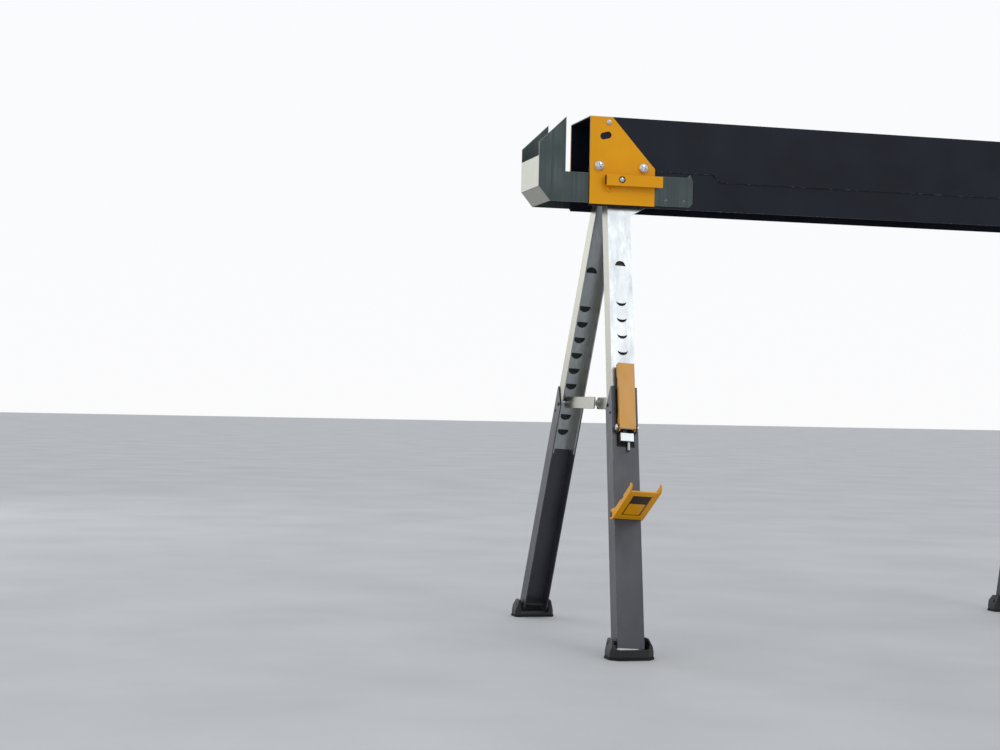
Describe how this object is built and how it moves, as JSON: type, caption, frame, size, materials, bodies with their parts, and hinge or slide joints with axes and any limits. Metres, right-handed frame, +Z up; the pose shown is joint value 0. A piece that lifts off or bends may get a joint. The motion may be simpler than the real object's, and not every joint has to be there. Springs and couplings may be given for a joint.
{
  "type": "folding sawhorse",
  "caption": "Folding sawhorse: a steel beam on splayed, height-adjusting telescopic legs that fold up, with pull-out lumber arms and fold-out pegs.",
  "frame": {"origin": "on the ground, below the middle of the beam", "axes": "+X along the beam to the right, +Y to the rear, +Z up; the arm latches and pegs are at the front, -Y"},
  "size_m": [1.098, 0.5626, 0.816],
  "materials": {
    "black_paint": "satin near-black paint",
    "grey_paint": "satin slate grey powder coat",
    "orange_paint": "satin amber orange paint",
    "zinc": "bright zinc plate",
    "dark_zinc": "grey-green zinc plate",
    "steel": "polished steel",
    "rubber": "matt black rubber"
  },
  "bodies": {
    "root": {"beam": "black_paint", "end_plate_left_front": "orange_paint", "end_plate_left_rear": "orange_paint", "end_plate_right_front": "orange_paint", "end_plate_right_rear": "orange_paint", "splay_pin_left_front": "steel", "splay_pin_left_rear": "steel", "splay_pin_right_front": "steel", "splay_pin_right_rear": "steel"},
    "hanger_left_front": {"hanger_left_front": "zinc", "fold_pin_left_front": "steel"},
    "upper_leg_left_front": {"upper_leg_left_front": "zinc"},
    "lower_leg_left_front": {"lower_leg_left_front": "grey_paint", "lever_pin_left_front": "steel", "foot_pin_left_front": "steel"},
    "lever_left_front": {"lever_left_front": "orange_paint"},
    "tongue_left_front": {"latch_tongue_left_front": "zinc"},
    "foot_left_front": {"foot_left_front": "black_paint", "foot_sole_left_front": "rubber"},
    "spreader_left_front": {"spreader_link_left_front": "zinc"},
    "hanger_left_rear": {"hanger_left_rear": "zinc", "fold_pin_left_rear": "steel"},
    "upper_leg_left_rear": {"upper_leg_left_rear": "zinc"},
    "lower_leg_left_rear": {"lower_leg_left_rear": "grey_paint", "lever_pin_left_rear": "steel", "foot_pin_left_rear": "steel"},
    "lever_left_rear": {"lever_left_rear": "orange_paint"},
    "tongue_left_rear": {"latch_tongue_left_rear": "zinc"},
    "foot_left_rear": {"foot_left_rear": "black_paint", "foot_sole_left_rear": "rubber"},
    "spreader_left_rear": {"spreader_link_left_rear": "zinc"},
    "peg_left": {"support_peg_left": "orange_paint"},
    "arm_left": {"support_arm_left": "dark_zinc"},
    "arm_latch_left": {"arm_latch_left": "orange_paint"},
    "hanger_right_front": {"hanger_right_front": "zinc", "fold_pin_right_front": "steel"},
    "upper_leg_right_front": {"upper_leg_right_front": "zinc"},
    "lower_leg_right_front": {"lower_leg_right_front": "grey_paint", "lever_pin_right_front": "steel", "foot_pin_right_front": "steel"},
    "lever_right_front": {"lever_right_front": "orange_paint"},
    "tongue_right_front": {"latch_tongue_right_front": "zinc"},
    "foot_right_front": {"foot_right_front": "black_paint", "foot_sole_right_front": "rubber"},
    "spreader_right_front": {"spreader_link_right_front": "zinc"},
    "hanger_right_rear": {"hanger_right_rear": "zinc", "fold_pin_right_rear": "steel"},
    "upper_leg_right_rear": {"upper_leg_right_rear": "zinc"},
    "lower_leg_right_rear": {"lower_leg_right_rear": "grey_paint", "lever_pin_right_rear": "steel", "foot_pin_right_rear": "steel"},
    "lever_right_rear": {"lever_right_rear": "orange_paint"},
    "tongue_right_rear": {"latch_tongue_right_rear": "zinc"},
    "foot_right_rear": {"foot_right_rear": "black_paint", "foot_sole_right_rear": "rubber"},
    "spreader_right_rear": {"spreader_link_right_rear": "zinc"},
    "peg_right": {"support_peg_right": "orange_paint"},
    "arm_right": {"support_arm_right": "dark_zinc"},
    "arm_latch_right": {"arm_latch_right": "orange_paint"}
  },
  "joints": [
    {"name": "splay_left_front", "type": "hinge", "parent": "root", "child": "hanger_left_front", "pos_m": [-0.398, -0.038, 0.7205], "axis": [1, 0, 0], "range_deg": [0, 18.51]},
    {"name": "fold_left_front", "type": "hinge", "parent": "hanger_left_front", "child": "upper_leg_left_front", "pos_m": [-0.37498, -0.03938, 0.68708], "axis": [0, -0.9483, 0.3173], "range_deg": [0, 93.48]},
    {"name": "height_left_front", "type": "slide", "parent": "upper_leg_left_front", "child": "lower_leg_left_front", "axis": [-0.0606, -0.3167, -0.9466], "range_m": [-0.127, 0]},
    {"name": "lever_left_front", "type": "hinge", "parent": "lower_leg_left_front", "child": "lever_left_front", "pos_m": [-0.43742, -0.16817, 0.33146], "axis": [-0.9982, 0.0192, 0.0575], "range_deg": [-60, 0]},
    {"name": "tongue_left_front", "type": "slide", "parent": "lower_leg_left_front", "child": "tongue_left_front", "axis": [0, -0.9483, 0.3173], "range_m": [0, 0.003]},
    {"name": "foot_left_front", "type": "hinge", "parent": "lower_leg_left_front", "child": "foot_left_front", "pos_m": [-0.45686, -0.24907, 0.02097], "axis": [-0.9982, 0.0192, 0.0575], "range_deg": [-20, 20]},
    {"name": "spreader_left_front", "type": "hinge", "parent": "upper_leg_left_front", "child": "spreader_left_front", "pos_m": [-0.43463, -0.13274, 0.36802], "axis": [0.9982, -0.0192, -0.0575], "range_deg": [0, 71]},
    {"name": "splay_left_rear", "type": "hinge", "parent": "root", "child": "hanger_left_rear", "pos_m": [-0.398, 0.038, 0.7205], "axis": [-1, 0, 0], "range_deg": [0, 18.51]},
    {"name": "fold_left_rear", "type": "hinge", "parent": "hanger_left_rear", "child": "upper_leg_left_rear", "pos_m": [-0.37498, 0.03938, 0.68708], "axis": [0, -0.9483, -0.3173], "range_deg": [0, 93.48]},
    {"name": "height_left_rear", "type": "slide", "parent": "upper_leg_left_rear", "child": "lower_leg_left_rear", "axis": [-0.0606, 0.3167, -0.9466], "range_m": [-0.127, 0]},
    {"name": "lever_left_rear", "type": "hinge", "parent": "lower_leg_left_rear", "child": "lever_left_rear", "pos_m": [-0.43742, 0.16817, 0.33146], "axis": [0.9982, 0.0192, -0.0575], "range_deg": [-60, 0]},
    {"name": "tongue_left_rear", "type": "slide", "parent": "lower_leg_left_rear", "child": "tongue_left_rear", "axis": [0, 0.9483, 0.3173], "range_m": [0, 0.003]},
    {"name": "foot_left_rear", "type": "hinge", "parent": "lower_leg_left_rear", "child": "foot_left_rear", "pos_m": [-0.45686, 0.24907, 0.02097], "axis": [0.9982, 0.0192, -0.0575], "range_deg": [-20, 20]},
    {"name": "spreader_left_rear", "type": "hinge", "parent": "upper_leg_left_rear", "child": "spreader_left_rear", "pos_m": [-0.43463, 0.13274, 0.36802], "axis": [-0.9982, -0.0192, 0.0575], "range_deg": [0, 71]},
    {"name": "peg_left", "type": "hinge", "parent": "lower_leg_left_front", "child": "peg_left", "pos_m": [-0.44536, -0.19636, 0.20311], "axis": [-0.9982, 0.0192, 0.0575], "range_deg": [0, 78]},
    {"name": "arm_left", "type": "slide", "parent": "root", "child": "arm_left", "axis": [-1, 0, 0], "range_m": [-0.038, 0.051]},
    {"name": "arm_latch_left", "type": "hinge", "parent": "root", "child": "arm_latch_left", "pos_m": [-0.4177, -0.06, 0.7166], "axis": [0, 0, 1], "range_deg": [0, 6], "stiffness_Nm_per_rad": 0.6, "springref_deg": -2.86},
    {"name": "splay_right_front", "type": "hinge", "parent": "root", "child": "hanger_right_front", "pos_m": [0.3805, -0.038, 0.7205], "axis": [1, 0, 0], "range_deg": [0, 18.51]},
    {"name": "fold_right_front", "type": "hinge", "parent": "hanger_right_front", "child": "upper_leg_right_front", "pos_m": [0.41215, -0.02734, 0.72304], "axis": [0, 0.9483, -0.3173], "range_deg": [0, 93.48]},
    {"name": "height_right_front", "type": "slide", "parent": "upper_leg_right_front", "child": "lower_leg_right_front", "axis": [0.0606, -0.3167, -0.9466], "range_m": [-0.127, 0]},
    {"name": "lever_right_front", "type": "hinge", "parent": "lower_leg_right_front", "child": "lever_right_front", "pos_m": [0.43742, -0.16817, 0.33146], "axis": [-0.9982, -0.0192, -0.0575], "range_deg": [-60, 0]},
    {"name": "tongue_right_front", "type": "slide", "parent": "lower_leg_right_front", "child": "tongue_right_front", "axis": [0, -0.9483, 0.3173], "range_m": [0, 0.003]},
    {"name": "foot_right_front", "type": "hinge", "parent": "lower_leg_right_front", "child": "foot_right_front", "pos_m": [0.45686, -0.24907, 0.02097], "axis": [-0.9982, -0.0192, -0.0575], "range_deg": [-20, 20]},
    {"name": "spreader_right_front", "type": "hinge", "parent": "upper_leg_right_front", "child": "spreader_right_front", "pos_m": [0.43463, -0.13274, 0.36802], "axis": [0.9982, 0.0192, 0.0575], "range_deg": [0, 71]},
    {"name": "splay_right_rear", "type": "hinge", "parent": "root", "child": "hanger_right_rear", "pos_m": [0.3805, 0.038, 0.7205], "axis": [-1, 0, 0], "range_deg": [0, 18.51]},
    {"name": "fold_right_rear", "type": "hinge", "parent": "hanger_right_rear", "child": "upper_leg_right_rear", "pos_m": [0.41215, 0.02734, 0.72304], "axis": [0, 0.9483, 0.3173], "range_deg": [0, 93.48]},
    {"name": "height_right_rear", "type": "slide", "parent": "upper_leg_right_rear", "child": "lower_leg_right_rear", "axis": [0.0606, 0.3167, -0.9466], "range_m": [-0.127, 0]},
    {"name": "lever_right_rear", "type": "hinge", "parent": "lower_leg_right_rear", "child": "lever_right_rear", "pos_m": [0.43742, 0.16817, 0.33146], "axis": [0.9982, -0.0192, 0.0575], "range_deg": [-60, 0]},
    {"name": "tongue_right_rear", "type": "slide", "parent": "lower_leg_right_rear", "child": "tongue_right_rear", "axis": [0, 0.9483, 0.3173], "range_m": [0, 0.003]},
    {"name": "foot_right_rear", "type": "hinge", "parent": "lower_leg_right_rear", "child": "foot_right_rear", "pos_m": [0.45686, 0.24907, 0.02097], "axis": [0.9982, -0.0192, 0.0575], "range_deg": [-20, 20]},
    {"name": "spreader_right_rear", "type": "hinge", "parent": "upper_leg_right_rear", "child": "spreader_right_rear", "pos_m": [0.43463, 0.13274, 0.36802], "axis": [-0.9982, 0.0192, -0.0575], "range_deg": [0, 71]},
    {"name": "peg_right", "type": "hinge", "parent": "lower_leg_right_front", "child": "peg_right", "pos_m": [0.44536, -0.19636, 0.20311], "axis": [-0.9982, -0.0192, -0.0575], "range_deg": [-78, 0]},
    {"name": "arm_right", "type": "slide", "parent": "root", "child": "arm_right", "axis": [1, 0, 0], "range_m": [-0.038, 0.051]},
    {"name": "arm_latch_right", "type": "hinge", "parent": "root", "child": "arm_latch_right", "pos_m": [0.4177, -0.06, 0.7166], "axis": [0, 0, -1], "range_deg": [0, 6], "stiffness_Nm_per_rad": 0.6, "springref_deg": -2.86}
  ],
  "couplings": [
    {"joint": "tongue_left_front", "follows": "lever_left_front", "m_per_rad": -0.0028648},
    {"joint": "splay_left_front", "follows": "fold_left_front", "ratio": 0.19791},
    {"joint": "spreader_left_front", "follows": "fold_left_front", "ratio": 0.75955},
    {"joint": "tongue_left_rear", "follows": "lever_left_rear", "m_per_rad": -0.0028648},
    {"joint": "splay_left_rear", "follows": "fold_left_front", "ratio": 0.19791},
    {"joint": "fold_left_rear", "follows": "fold_left_front", "ratio": 1},
    {"joint": "spreader_left_rear", "follows": "fold_left_front", "ratio": 0.75955},
    {"joint": "tongue_right_front", "follows": "lever_right_front", "m_per_rad": -0.0028648},
    {"joint": "splay_right_front", "follows": "fold_right_front", "ratio": 0.19791},
    {"joint": "spreader_right_front", "follows": "fold_right_front", "ratio": 0.75955},
    {"joint": "tongue_right_rear", "follows": "lever_right_rear", "m_per_rad": -0.0028648},
    {"joint": "splay_right_rear", "follows": "fold_right_front", "ratio": 0.19791},
    {"joint": "fold_right_rear", "follows": "fold_right_front", "ratio": 1},
    {"joint": "spreader_right_rear", "follows": "fold_right_front", "ratio": 0.75955}
  ]
}
